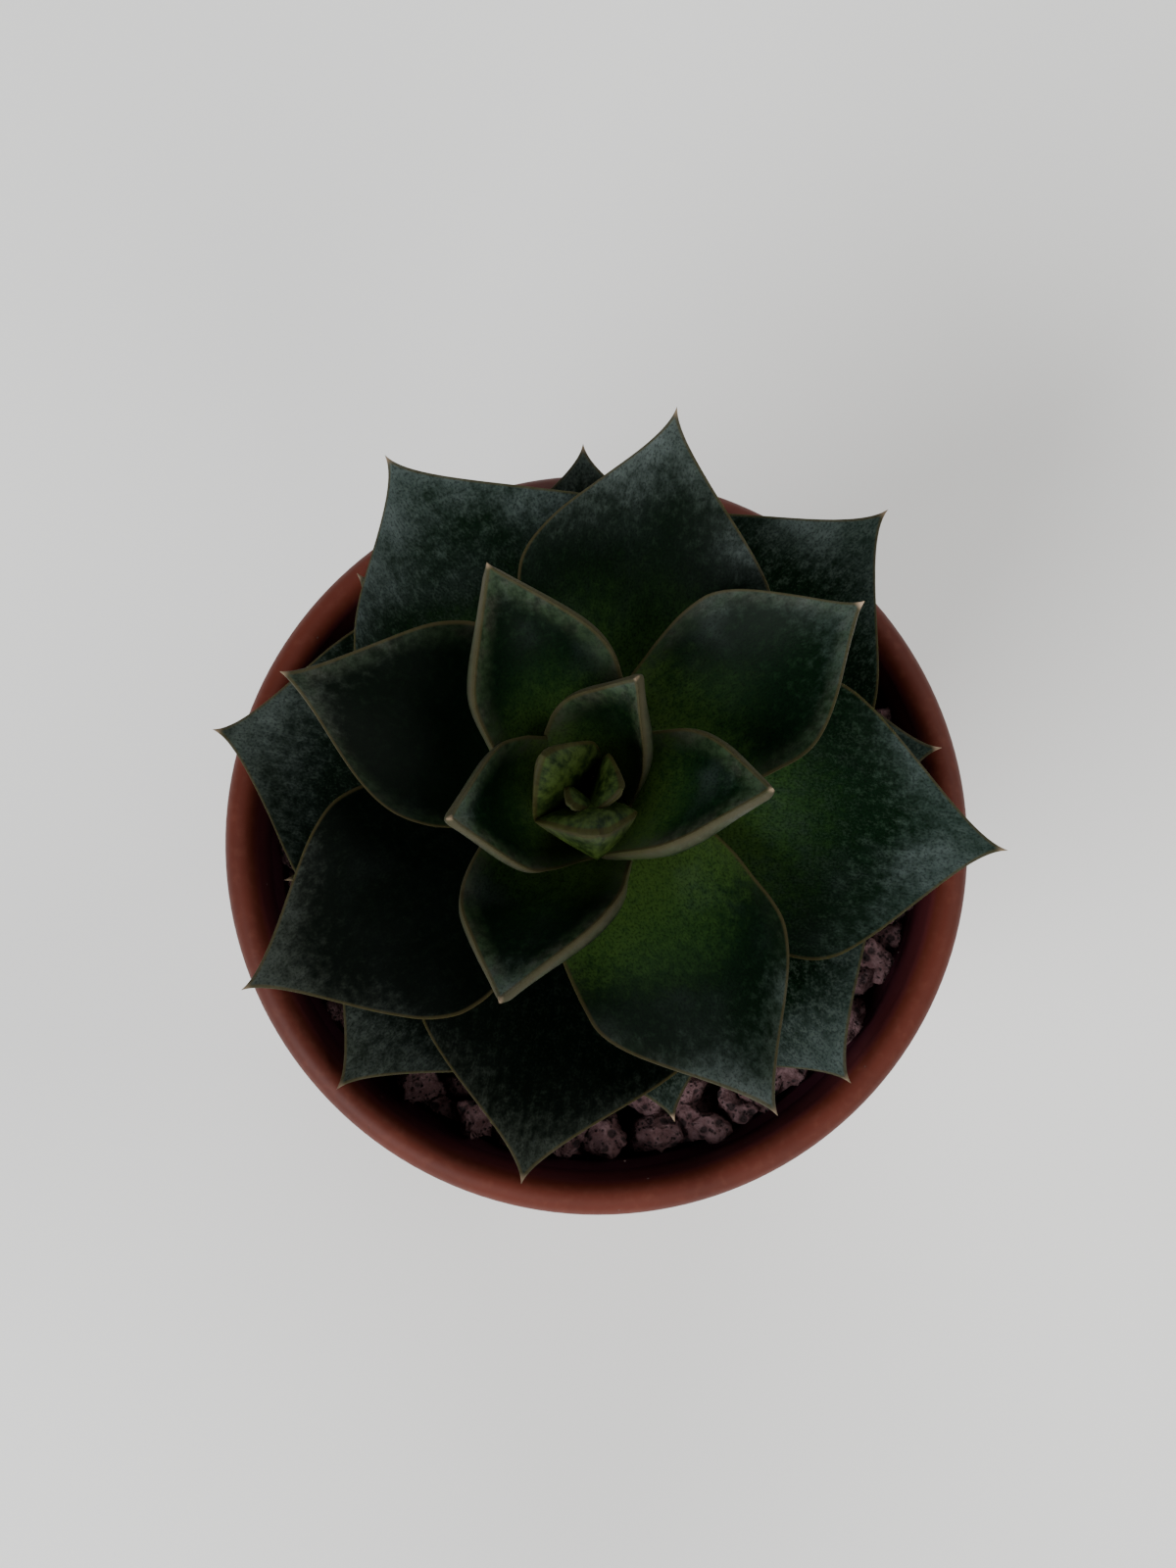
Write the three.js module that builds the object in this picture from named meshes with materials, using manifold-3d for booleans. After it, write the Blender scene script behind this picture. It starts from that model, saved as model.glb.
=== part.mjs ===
// A rosette succulent of the echeveria kind in a round terracotta-coloured plastic nursery pot.
// Millimetres, +Z up. The origin is the centre of the pot's base. Seen from above, +Y is up.
// The plant is a short stem with its leaves set round it on one spiral, and a bud of four small
// leaves at its tip. Crushed lava rock lies on the potting soil.
import * as THREE from "three";
import { mergeVertices } from "three/addons/utils/BufferGeometryUtils.js";
import Module from "manifold-3d";

const wasm = await Module();
wasm.setup();

const DEGREE = Math.PI / 180;
const GAP = 0.3; // clearance between neighbouring solids

// ---- Pot ----

const POT_HEIGHT = 75;
const RIM_RADIUS = 42.5;
const RIM_INNER_RADIUS = 38.6; // the lip's roll turns down into the pot here
const RIM_DEPTH = 7; // how far the lip's skirt hangs down
const WALL = 1.2;
const COLLAR_FOOT = 66.5; // the steep band under the rim ends in a ledge that pots stack on
const COLLAR_TOP_RADIUS = 38.6; // radii of the inner face, as are the next three
const COLLAR_FOOT_RADIUS = 37.9;
const BODY_TOP_RADIUS = 36.9;
const BODY_FOOT_RADIUS = 28.8;
const LEDGE = COLLAR_FOOT_RADIUS - BODY_TOP_RADIUS; // the ledge slopes, as deep as it is wide
const FLOOR_TOP = 3;
const FOOT_HEIGHT = 1.6; // the floor is raised by this much between the feet
const CENTRE_FOOT_RADIUS = 9;
const RING_FOOT_WIDTH = 3.4;
const DRAIN_COUNT = 6;
const DRAIN_RADIUS = 2.4;
const DRAIN_CIRCLE = 17.5;
const ROUND_SEGMENTS = 40;

// ---- Soil and lava rock ----

const SOIL_TOP = 58;
const BED_TOP = 61.5; // the packed bed that the upper stones stand out of
const STONE_COUNT = 114;
const STONE_RADIUS = [2.1, 3.3];
const STONE_RING = [8, 34]; // distances of the innermost and outermost stones from the axis
const STEM_CLEARING = 6.6; // radius of the stone-free patch round the stem

// ---- Plant ----

const PLANT_CENTRE = new THREE.Vector3(-1.5, 3, 0); // the stem stands a little off the pot's axis
const STEM_FOOT = 40;
const STEM_TOP = 84.3;
const STEM_RADII = [2.1, 4.8]; // at the stem's tip and under the lowest leaf
const SPIRAL_START = 64; // azimuth of the first leaf in degrees
const DIVERGENCE = 136.6; // turn from one leaf to the next older one in degrees
const FIRST_ROOT = { radius: 2.9, height: 84 }; // where the youngest leaf springs from the stem
const ROOT_STEP = { radius: 0.12, height: -0.68 }; // change from one leaf to the next older one
const CLASPING_LEAVES = [2, 8]; // broad roots wrap round the bud up to the first, and fade out to the last
const ROOT_SHARE = [0.4, 0.92]; // width at the root per full width, old leaf and youngest leaf
const ROOT_CUP = [0.08, 0.62]; // lift of the margins per half width at the root, old and youngest
const CUP = [0.17, 0.34]; // the same further out
const WIDEST = [0.5, 0.42]; // where along the blade it is widest
const TAPER = [1.75, 1.45]; // how hollow the sides run to the tip
const LEAF_CURL = 11; // degrees that the midrib turns upward from root to tip
const LEAF_THICKNESS = 3.4; // at the root of the midrib
const MARGIN_THICKNESS = 0.9;
const KEEL_EDGE = 1.5; // 1 for a flat-sided keel under the leaf, as in the bud, 2 for a round back
const PRESS = 0.42; // how far a leaf's faces press its neighbours back, which leaves GAP at its edges

// The leaves, youngest first. turn is the departure from the spiral in degrees, reach the distance
// of the tip from the stem's axis, tip its height, and sway the tip's sideways drift. skew is how
// much wider the blade is on the side of the next larger azimuth, and roll lifts that side, in
// degrees. bulge is how far the back stands out past the margins.
const LEAVES = [
  { turn: 4, reach: 10.9, tip: 101, width: 11.8, sway: 0, skew: 0.14, roll: -18, bulge: 0.65, widest: 0.34 },
  { turn: -8, reach: 14.8, tip: 101, width: 14.6, sway: 0.8, skew: 0, roll: 0, bulge: 0.5 },
  { turn: 23, reach: 17.8, tip: 102, width: 13.6, sway: -1, skew: -0.04, roll: -20, bulge: 0.9 },
  { turn: 0, reach: 24.6, tip: 101, width: 16.2, sway: 1, skew: -0.03, roll: 4, bulge: 0.8 },
  { turn: -6, reach: 24.2, tip: 101, width: 16.7, sway: 1, skew: 0.03, roll: 24, bulge: 0.8 },
  {
    turn: 10, reach: 34.4, tip: 97, width: 20.6, sway: -1.6, skew: -0.03, roll: -10, bulge: 0.35,
    widest: 0.6, rootShare: 0.5,
  },
  { turn: -6, reach: 34.4, tip: 96, width: 22.6, sway: 1.5, skew: -0.14, roll: 0, bulge: 0.3 },
  {
    turn: 1, reach: 38.9, tip: 94, width: 23.5, sway: -1.2, skew: -0.03, roll: 0, bulge: 0.4,
    rootShare: 0.8,
  },
  { turn: -1.5, reach: 43.2, tip: 91, width: 28.6, sway: 1.6, skew: -0.06, roll: 0, bulge: 0 },
  { turn: -5, reach: 42, tip: 91, width: 27, sway: 1.2, skew: 0.02, roll: 0, bulge: 0 },
  { turn: 7, reach: 45.6, tip: 87, width: 31.6, sway: -3.4, skew: 0.03, roll: 0, bulge: 0 },
  { turn: -9, reach: 44.1, tip: 86, width: 36.8, sway: 2.4, skew: -0.17, roll: 0, bulge: 0 },
  { turn: -1, reach: 41.9, tip: 85, width: 32, sway: -1.5, skew: 0.05, roll: 0, bulge: 0 },
  { turn: 7, reach: 47.6, tip: 82, width: 34.7, sway: -1.9, skew: 0.04, roll: 0, bulge: 0 },
  { turn: -8, reach: 42.3, tip: 81, width: 37, sway: 0.5, skew: 0, roll: 0, bulge: 0 },
  { turn: 2, reach: 42.4, tip: 79, width: 34.2, sway: -1.2, skew: 0.23, roll: 0, bulge: 0 },
  { turn: 1, reach: 41.6, tip: 79, width: 32, sway: 0, skew: -0.05, roll: 0, bulge: 0 },
  { turn: 2, reach: 41.8, tip: 78, width: 28, sway: 0.5, skew: 0, roll: 0, bulge: 0 },
  { turn: 10, reach: 41, tip: 77, width: 28, sway: -2.2, skew: 0.1, roll: 0, bulge: 0 },
  { turn: -5, reach: 37.4, tip: 77, width: 26, sway: 0, skew: 0, roll: 0, bulge: 0 },
  { turn: 10, reach: 36.6, tip: 73, width: 25.2, sway: 0, skew: 0.05, roll: 0, bulge: 0 },
  { turn: 0, reach: 33, tip: 73, width: 24, sway: 0, skew: 0, roll: 0, bulge: 0 },
  { turn: 4, reach: 35.1, tip: 73, width: 23, sway: 0, skew: 0, roll: 0, bulge: 0 },
];

// The bud's four small upright leaves, oldest first. They are plump: swell is how much the back
// stands out half way up, over a keel that thins from root to tip, and fill how much the face does.
const BUD_FOOT = STEM_TOP + GAP;
const BUD_CORE = { radius: 2.2, height: 8 };
const BUD_LEAVES = [
  {
    azimuth: 275, root: 2.4, reach: 5.5, tip: 101.5, width: 10.8, cup: 0.2,
    thickness: 2, swell: 3, fill: 2, skew: -0.17,
  },
  {
    azimuth: 156, root: 1.7, reach: 5.6, tip: 101, width: 10.4, cup: 0.3,
    thickness: 1.6, swell: 0.8, fill: 2, skew: 0.1, roll: -14,
  },
  {
    azimuth: 340, root: 0.6, reach: 2.8, tip: 100.5, width: 7.4, cup: 0.4,
    thickness: 1, swell: 0.8, fill: 1.1, skew: 0.04,
  },
  {
    azimuth: 228, root: 1.6, reach: 3.1, tip: 99.6, width: 4.6, cup: 0.4,
    thickness: 1, swell: 0.8, fill: 1, skew: 0,
  },
];

// ---- Solids and geometry ----

const { lerp, smoothstep } = THREE.MathUtils;

/** A geometry with shared vertices and nothing but positions. */
function bareGeometry(geometry) {
  const bare = new THREE.BufferGeometry();
  bare.setAttribute("position", geometry.getAttribute("position"));
  bare.setIndex(geometry.index);
  return mergeVertices(bare, 1e-4);
}

/** A closed geometry as a manifold-3d solid. */
function solidOf(geometry) {
  const bare = bareGeometry(geometry);
  return new wasm.Manifold(
    new wasm.Mesh({
      numProp: 3,
      vertProperties: new Float32Array(bare.attributes.position.array),
      triVerts: new Uint32Array(bare.index.array),
    }),
  );
}

/** A manifold-3d solid as a flat-shaded geometry. */
function geometryOf(solid) {
  const mesh = solid.getMesh();
  const indexed = new THREE.BufferGeometry();
  indexed.setAttribute("position", new THREE.BufferAttribute(mesh.vertProperties, 3));
  indexed.setIndex(new THREE.BufferAttribute(mesh.triVerts, 1));
  const flat = indexed.toNonIndexed();
  flat.computeVertexNormals();
  return flat;
}

/** A closed geometry with its faces moved outward, to cut a clearance round its solid. */
function swollen(geometry, amount) {
  const shape = bareGeometry(geometry);
  shape.computeVertexNormals();
  const at = shape.getAttribute("position");
  const normals = shape.getAttribute("normal");
  const point = new THREE.Vector3();
  const normal = new THREE.Vector3();
  for (let i = 0; i < at.count; i++) {
    point.fromBufferAttribute(at, i).addScaledVector(normal.fromBufferAttribute(normals, i), amount);
    at.setXYZ(i, ...point);
  }
  return shape;
}

/** The largest body of a solid, so that a scrap cut loose is dropped. */
function largestBody(solid) {
  return solid.decompose().reduce((a, b) => (b.volume() > a.volume() ? b : a));
}

/** A solid of revolution about Z from [radius, height] points that start and end on the axis. */
function turned(profile) {
  const lathe = new THREE.LatheGeometry(
    profile.map(([r, z]) => new THREE.Vector2(r, z)),
    ROUND_SEGMENTS,
  );
  lathe.rotateX(90 * DEGREE);
  return solidOf(lathe);
}

/** Points of an elliptical arc in the [radius, height] plane, from and to in degrees. */
function arc([r, z], [rx, rz], from, to, steps) {
  return Array.from({ length: steps + 1 }, (_, i) => {
    const angle = lerp(from, to, i / steps) * DEGREE;
    return [r + rx * Math.cos(angle), z + rz * Math.sin(angle)];
  });
}

/** An upright cylinder or cone between two heights. */
function upright(topRadius, footRadius, foot, top, segments, x = 0, y = 0) {
  const geometry = new THREE.CylinderGeometry(topRadius, footRadius, top - foot, segments);
  geometry.rotateX(90 * DEGREE);
  return geometry.translate(x, y, (foot + top) / 2);
}

/** A seeded stream of numbers between two ends. */
function seeded(seed) {
  let state = seed;
  return (low, high) => {
    state = (state * 16807) % 2147483647;
    return lerp(low, high, state / 2147483647);
  };
}

// ---- Pot, soil and lava rock ----

/** The radius of the pot's inner face at a height. */
function innerRadius(z) {
  if (z > COLLAR_FOOT) {
    return lerp(COLLAR_FOOT_RADIUS, COLLAR_TOP_RADIUS, (z - COLLAR_FOOT) / (POT_HEIGHT - COLLAR_FOOT));
  }
  const [foot, top] = [FLOOR_TOP + 1, COLLAR_FOOT - LEDGE];
  return lerp(BODY_FOOT_RADIUS, BODY_TOP_RADIUS, (z - foot) / (top - foot));
}

/** The pot: two ring feet, a raised floor with drain holes, a tapered wall, a collar and a rolled rim. */
function pot() {
  const skirtFoot = POT_HEIGHT - RIM_DEPTH;
  const skirtInner = RIM_RADIUS - WALL;
  const rollTop = POT_HEIGHT - 2.4; // the roll is elliptical in section above here
  const rollCentre = RIM_RADIUS - 2.1;
  const baseRadius = BODY_FOOT_RADIUS + WALL;
  let body = turned([
    [0, 0],
    [CENTRE_FOOT_RADIUS, 0],
    [CENTRE_FOOT_RADIUS + 0.6, FOOT_HEIGHT],
    [baseRadius - RING_FOOT_WIDTH - 0.6, FOOT_HEIGHT],
    [baseRadius - RING_FOOT_WIDTH, 0],
    [baseRadius - 0.8, 0],
    [baseRadius, 0.9],
    [BODY_TOP_RADIUS + WALL, COLLAR_FOOT - LEDGE],
    [COLLAR_FOOT_RADIUS + WALL, COLLAR_FOOT],
    [innerRadius(rollTop - 1) + WALL, rollTop - 1],
    [skirtInner, rollTop - 1],
    [skirtInner, skirtFoot],
    [RIM_RADIUS - 0.2, skirtFoot],
    ...arc([rollCentre, rollTop], [RIM_RADIUS - rollCentre, POT_HEIGHT - rollTop], 0, 90, 4),
    ...arc([rollCentre, rollTop], [rollCentre - RIM_INNER_RADIUS, POT_HEIGHT - rollTop], 110, 180, 3),
    [innerRadius(rollTop - 1.5), rollTop - 1.5],
    [COLLAR_FOOT_RADIUS, COLLAR_FOOT],
    [BODY_TOP_RADIUS, COLLAR_FOOT - LEDGE],
    [BODY_FOOT_RADIUS, FLOOR_TOP + 1],
    [BODY_FOOT_RADIUS - 1, FLOOR_TOP],
    [0, FLOOR_TOP],
  ]);
  for (let i = 0; i < DRAIN_COUNT; i++) {
    const angle = (i / DRAIN_COUNT) * 360 * DEGREE;
    const at = [DRAIN_CIRCLE * Math.cos(angle), DRAIN_CIRCLE * Math.sin(angle)];
    body = body.subtract(solidOf(upright(DRAIN_RADIUS, DRAIN_RADIUS, -1, FLOOR_TOP + 1, 12, ...at)));
  }
  return body;
}

/** A plain round hole where the stem stands. */
function stemHole(radius, foot, top) {
  return solidOf(upright(radius, radius, foot, top, 20, PLANT_CENTRE.x, PLANT_CENTRE.y));
}

/** The potting soil, filling the pot up to the lava rock. */
function soil() {
  const foot = FLOOR_TOP + GAP;
  const block = turned([
    [0, foot],
    [BODY_FOOT_RADIUS - GAP - 1.2, foot],
    [BODY_FOOT_RADIUS - GAP, foot + 1.3],
    [innerRadius(SOIL_TOP) - GAP, SOIL_TOP],
    [0, SOIL_TOP],
  ]);
  return block.subtract(stemHole(STEM_RADII[1] + GAP, STEM_FOOT - GAP, SOIL_TOP + 1));
}

/** One rough stone: an icosahedron with its corners moved in and out, then stretched and tumbled. */
function stone(radius, random) {
  const shape = bareGeometry(new THREE.IcosahedronGeometry(radius));
  const corners = shape.getAttribute("position");
  const corner = new THREE.Vector3();
  for (let i = 0; i < corners.count; i++) {
    corner.fromBufferAttribute(corners, i).multiplyScalar(random(0.82, 1.18));
    corners.setXYZ(i, ...corner);
  }
  shape.scale(random(0.9, 1.25), random(0.75, 1), random(0.75, 0.95));
  shape.rotateX(random(0, 360) * DEGREE);
  shape.rotateZ(random(0, 360) * DEGREE);
  return shape;
}

/** The lava rock: a thin packed bed and the stones that stand out of it, fused as one layer. */
function lavaRock() {
  const random = seeded(4101);
  const foot = SOIL_TOP + GAP;
  const solids = [
    turned([
      [0, foot],
      [innerRadius(foot) - GAP, foot],
      [innerRadius(BED_TOP) - GAP, BED_TOP],
      [0, BED_TOP],
    ]),
  ];
  for (let i = 0; i < STONE_COUNT; i++) {
    const radius = random(...STONE_RADIUS);
    const spread = lerp(...STONE_RING, ((i + 0.5) / STONE_COUNT) ** 0.45) + random(-1, 1);
    const distance = Math.min(innerRadius(BED_TOP) - GAP - 1.3 * radius, spread);
    const angle = i * 137.508 * DEGREE;
    const heap = (distance / STONE_RING[1]) ** 2; // the rock lies higher towards the wall
    const made = stone(radius, random);
    made.translate(distance * Math.cos(angle), distance * Math.sin(angle), BED_TOP + heap * random(0.5, 3));
    solids.push(solidOf(made));
  }
  const layer = wasm.Manifold.union(solids);
  return largestBody(layer.subtract(stemHole(STEM_CLEARING, foot - 1, POT_HEIGHT)));
}

// ---- Plant ----

/** Half width along a blade as a share of its largest: a round shoulder, then a hollow taper to a point. */
function outline(s, rootShare, widest, taper) {
  if (s <= widest) return lerp(rootShare, 1, Math.sin(((s / widest) * Math.PI) / 2) ** 1.3);
  const q = (s - widest) / (1 - widest);
  return (1 - q) ** taper * (1 + taper * q);
}

/**
 * One fleshy leaf. Its midrib is an arc in the upright plane of its azimuth. Each section across
 * it is a cup above and a keel below.
 */
function blade(leaf) {
  const { azimuth, root, foot, reach, tip, curl, sway, stations } = leaf;
  const { width, rootShare, widest, taper, skew, roll, rootCup, cup } = leaf;
  const { thickness, thinning, swell, fill, bulge, keelEdge } = leaf;
  const across = [-1, -0.64, 0, 0.64, 1];
  const turn = curl * DEGREE;
  const chord = Math.hypot(reach - root, tip - foot);
  const start = Math.atan2(tip - foot, reach - root) - turn / 2;
  const bend = chord / 2 / Math.sin(turn / 2); // radius of the midrib's arc
  const outward = new THREE.Vector3(Math.cos(azimuth * DEGREE), Math.sin(azimuth * DEGREE), 0);
  const sideways = new THREE.Vector3(-outward.y, outward.x, 0);

  const midrib = (s) => {
    const angle = start + turn * s;
    const r = root + bend * (Math.sin(angle) - Math.sin(start));
    const point = PLANT_CENTRE.clone().addScaledVector(outward, r).addScaledVector(sideways, sway * s * s);
    point.z = foot - bend * (Math.cos(angle) - Math.cos(start));
    const normal = outward.clone().multiplyScalar(-Math.sin(angle));
    normal.z = Math.cos(angle);
    const lean = roll * DEGREE * Math.min(1, s / 0.5);
    const level = sideways.clone().multiplyScalar(Math.cos(lean)).addScaledVector(normal, Math.sin(lean));
    const up = normal.multiplyScalar(Math.cos(lean)).addScaledVector(sideways, -Math.sin(lean));
    return { point, level, up };
  };
  const vertices = [];
  for (let i = 0; i < stations; i++) {
    const s = i / stations;
    const { point, level, up } = midrib(s);
    const half = (width / 2) * outline(s, rootShare, widest, taper);
    const lift = half * lerp(rootCup, cup, Math.min(1, s / 0.5));
    const keel = thickness * lerp(1, thinning, s) + swell * Math.sin(s * Math.PI);
    const place = (u, drop, bulge) =>
      point
        .clone()
        .addScaledVector(level, u * half * (1 + skew * u) * (1 + bulge * (1 - u * u)))
        .addScaledVector(up, lift * u * u - drop);
    const full = fill * Math.sqrt(Math.sin(s * Math.PI));
    const depth = (u) => lerp(keel, MARGIN_THICKNESS, Math.abs(u) ** keelEdge);
    vertices.push(...across.map((u) => place(u, full * (u * u - 1), 0)));
    vertices.push(...across.map((u) => place(-u, depth(u), bulge)));
  }
  const end = midrib(1);
  vertices.push(end.point.addScaledVector(end.up, -MARGIN_THICKNESS / 3));

  const ring = 2 * across.length;
  const faces = [];
  for (let i = 0; i + 1 < stations; i++) {
    for (let j = 0; j < ring; j++) {
      const a = i * ring + j;
      const b = i * ring + ((j + 1) % ring);
      faces.push(a, a + ring, b, b, a + ring, b + ring);
    }
  }
  const last = (stations - 1) * ring;
  for (let j = 0; j < ring; j++) faces.push(last + j, vertices.length - 1, last + ((j + 1) % ring));
  for (let j = 0; j + 1 < across.length; j++) {
    faces.push(j, j + 1, ring - 1 - j, j + 1, ring - 2 - j, ring - 1 - j); // the root's end
  }
  const geometry = new THREE.BufferGeometry();
  geometry.setAttribute("position", new THREE.Float32BufferAttribute(vertices.flatMap((v) => [...v]), 3));
  geometry.setIndex(faces);
  return geometry;
}

/** The full sizes of a leaf of the spiral, from its row and its place in the order. */
function spiralLeaf(leaf, n) {
  const youth = 1 - smoothstep(n, ...CLASPING_LEAVES);
  return {
    ...leaf,
    azimuth: SPIRAL_START + n * DIVERGENCE + leaf.turn,
    root: FIRST_ROOT.radius + n * ROOT_STEP.radius,
    foot: FIRST_ROOT.height + n * ROOT_STEP.height,
    curl: LEAF_CURL,
    stations: 12,
    rootShare: leaf.rootShare ?? lerp(...ROOT_SHARE, youth),
    rootCup: lerp(...ROOT_CUP, youth),
    cup: lerp(...CUP, youth),
    taper: lerp(...TAPER, youth),
    widest: leaf.widest ?? lerp(...WIDEST, youth),
    thickness: LEAF_THICKNESS,
    thinning: 0.45,
    swell: 0,
    fill: 0,
    keelEdge: KEEL_EDGE,
  };
}

/** The full sizes of a leaf of the bud, which leans inward at its tip. */
function budLeaf(leaf) {
  const outlineOf = { rootShare: 0.6, widest: 0.6, taper: 1.2, rootCup: 0.5 };
  const section = { thinning: 0.25, bulge: 0, keelEdge: 1 };
  return { roll: 0, ...leaf, ...outlineOf, ...section, curl: -14, sway: 0, foot: BUD_FOOT, stations: 10 };
}

/** The stem: a foot in the soil, an even stretch through the rock and a cone under the leaves. */
function stem() {
  const [tip, base] = STEM_RADII;
  const lowest = FIRST_ROOT.height + (LEAVES.length - 1) * ROOT_STEP.height - LEAF_THICKNESS;
  const shape = new THREE.LatheGeometry(
    [
      [0, STEM_FOOT],
      [base - 1, STEM_FOOT],
      [base, STEM_FOOT + 1],
      [base, lowest],
      [tip, STEM_TOP],
      [0, STEM_TOP],
    ].map(([r, z]) => new THREE.Vector2(r, z)),
    16,
  );
  shape.rotateX(90 * DEGREE);
  shape.translate(PLANT_CENTRE.x, PLANT_CENTRE.y, 0);
  return solidOf(shape);
}

/** The geometries that the bud is fused from: a short core and its leaves. */
function budPieces() {
  const { radius, height } = BUD_CORE;
  const { x, y } = PLANT_CENTRE;
  const core = upright(0.5 * radius, radius, BUD_FOOT, BUD_FOOT + height, 12, x, y);
  return [core, ...BUD_LEAVES.map((leaf) => blade(budLeaf(leaf)))];
}

/** The spiral's leaves. Each is pressed back by the bud and by the younger leaves that lie on it. */
function leaves() {
  const blades = LEAVES.map((leaf, n) => blade(spiralLeaf(leaf, n)));
  const press = (geometry) => solidOf(swollen(geometry, PRESS));
  const budPress = wasm.Manifold.union(budPieces().map(press));
  const presses = [budPress, ...blades.map(press)];
  return blades.map((geometry, n) => {
    let solid = solidOf(geometry);
    for (const younger of presses.slice(0, n + 1)) solid = solid.subtract(younger);
    return largestBody(solid);
  });
}

// ---- Materials and the finished object ----

const terracottaPlastic = new THREE.MeshStandardMaterial({ color: 0x7d4238, roughness: 0.5, metalness: 0 });
const darkSoil = new THREE.MeshStandardMaterial({ color: 0x1c1512, roughness: 1, metalness: 0 });
const redLava = new THREE.MeshStandardMaterial({ color: 0x57403c, roughness: 0.95, metalness: 0 });
const woodyStem = new THREE.MeshStandardMaterial({ color: 0x6b5b45, roughness: 0.85, metalness: 0 });
const youngGreen = new THREE.MeshStandardMaterial({ color: 0x5c6a3a, roughness: 0.5, metalness: 0 });
const waxyGreen = new THREE.MeshStandardMaterial({ color: 0x2f4038, roughness: 0.45, metalness: 0 });

const pottedSucculent = new THREE.Group();

function addPiece(name, solid, material) {
  const mesh = new THREE.Mesh(geometryOf(solid), material);
  mesh.name = name;
  pottedSucculent.add(mesh);
}

addPiece("pot", pot(), terracottaPlastic);
addPiece("potting_soil", soil(), darkSoil);
addPiece("lava_rock", lavaRock(), redLava);
addPiece("stem", stem(), woodyStem);
addPiece("bud", wasm.Manifold.union(budPieces().map(solidOf)), youngGreen);
leaves().forEach((solid, n) => {
  addPiece(`leaf_${String(n + 1).padStart(2, "0")}`, solid, waxyGreen);
});

export default pottedSucculent;
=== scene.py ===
"""Looks of a potted rosette succulent: waxy leaves, bud, stem, lava rock, soil and plastic nursery pot.

Lengths are written in millimetres and angles in degrees, and turned into metres and radians where
a mesh or a node takes them. The origin is the centre of the pot's base, and +Z is up.
"""

import math

import bmesh
import bpy
from mathutils import Matrix, Vector


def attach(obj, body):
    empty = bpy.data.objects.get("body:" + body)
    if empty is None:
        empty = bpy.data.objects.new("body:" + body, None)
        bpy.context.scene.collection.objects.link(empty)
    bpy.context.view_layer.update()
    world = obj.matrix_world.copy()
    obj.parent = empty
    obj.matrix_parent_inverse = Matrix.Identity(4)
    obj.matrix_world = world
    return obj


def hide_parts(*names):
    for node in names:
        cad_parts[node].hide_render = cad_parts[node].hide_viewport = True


MM = 0.001

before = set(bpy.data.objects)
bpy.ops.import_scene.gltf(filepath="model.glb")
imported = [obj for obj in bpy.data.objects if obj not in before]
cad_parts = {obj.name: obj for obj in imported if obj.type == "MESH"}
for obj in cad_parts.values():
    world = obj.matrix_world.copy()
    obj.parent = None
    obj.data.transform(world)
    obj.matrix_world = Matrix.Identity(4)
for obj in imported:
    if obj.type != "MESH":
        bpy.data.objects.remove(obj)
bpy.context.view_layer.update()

# ---- Sizes shared with the solids ----

POT_HEIGHT = 75
RIM_RADIUS = 42.5
RIM_INNER_RADIUS = 38.6
RIM_DEPTH = 7  # how far the lip's skirt hangs down
ROLL_DEPTH = 2.4  # height of the rim's rounded top
ROLL_REACH = 2.1  # from its highest line to the rim's outer face
WALL = 1.2
COLLAR_FOOT = 66.5  # the steep band under the rim ends in a ledge
COLLAR_TOP_RADIUS = 38.6  # radii of the inner face, as are the next three
COLLAR_FOOT_RADIUS = 37.9
BODY_TOP_RADIUS = 36.9
BODY_FOOT_RADIUS = 28.8
LEDGE = COLLAR_FOOT_RADIUS - BODY_TOP_RADIUS  # the ledge slopes, as deep as it is wide
FLOOR_TOP = 3
FLOOR_EDGE = 1  # the corner between floor and wall is cut off by this much
FOOT_HEIGHT = 1.6  # the floor is raised by this much between the feet
FOOT_SLOPE = 0.6
CENTRE_FOOT_RADIUS = 9
RING_FOOT_WIDTH = 3.4
DRAIN_COUNT = 6
DRAIN_RADIUS = 2.4
DRAIN_CIRCLE = 17.5

# The wall's inner face is two lines: the radius at height z is a root plus a slope times z.
BODY_SLOPE = (BODY_TOP_RADIUS - BODY_FOOT_RADIUS) / (COLLAR_FOOT - LEDGE - FLOOR_TOP - FLOOR_EDGE)
BODY_ROOT = BODY_TOP_RADIUS - BODY_SLOPE * (COLLAR_FOOT - LEDGE)
COLLAR_SLOPE = (COLLAR_TOP_RADIUS - COLLAR_FOOT_RADIUS) / (POT_HEIGHT - COLLAR_FOOT)
COLLAR_ROOT = COLLAR_FOOT_RADIUS - COLLAR_SLOPE * COLLAR_FOOT

PLANT_CENTRE = (-1.5, 3)  # the stem stands a little off the pot's axis
SPIRAL_START = 64  # azimuth of the first leaf
DIVERGENCE = 136.6  # turn from one leaf to the next older one
FIRST_ROOT = (2.9, 84)  # distance from the stem's axis and height of the youngest leaf's root
ROOT_STEP = (0.12, -0.68)  # change of both from one leaf to the next older one
CLASPING_LEAVES = (2, 8)  # broad roots wrap round the bud up to the first, and fade out to the last
ROOT_SHARE = (0.4, 0.92)  # width at the root per full width, old leaf and youngest leaf
ROOT_CUP = (0.08, 0.62)  # lift of the margins per half width at the root, old and youngest
CUP = (0.17, 0.34)  # the same further out
WIDEST = (0.5, 0.42)  # where along the blade it is widest
TAPER = (1.75, 1.45)  # how hollow the sides run to the tip
LEAF_CURL = 11  # degrees that the midrib turns upward from root to tip
LEAF_THICKNESS = 3.4  # at the root of the midrib
LEAF_THINNING = 0.45  # thickness at the tip per thickness at the root
MARGIN_THICKNESS = 0.9
KEEL_EDGE = 1.5  # 1 for a flat-sided keel under the leaf, as in the bud, 2 for a round back
USUAL_CREAM = 0.35  # paleness of a leaf's tip, 1 for cream
SEED_STEP = 0.37  # each leaf reads its patterns this much further on than the one before
BUD_SEED = 20
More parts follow.
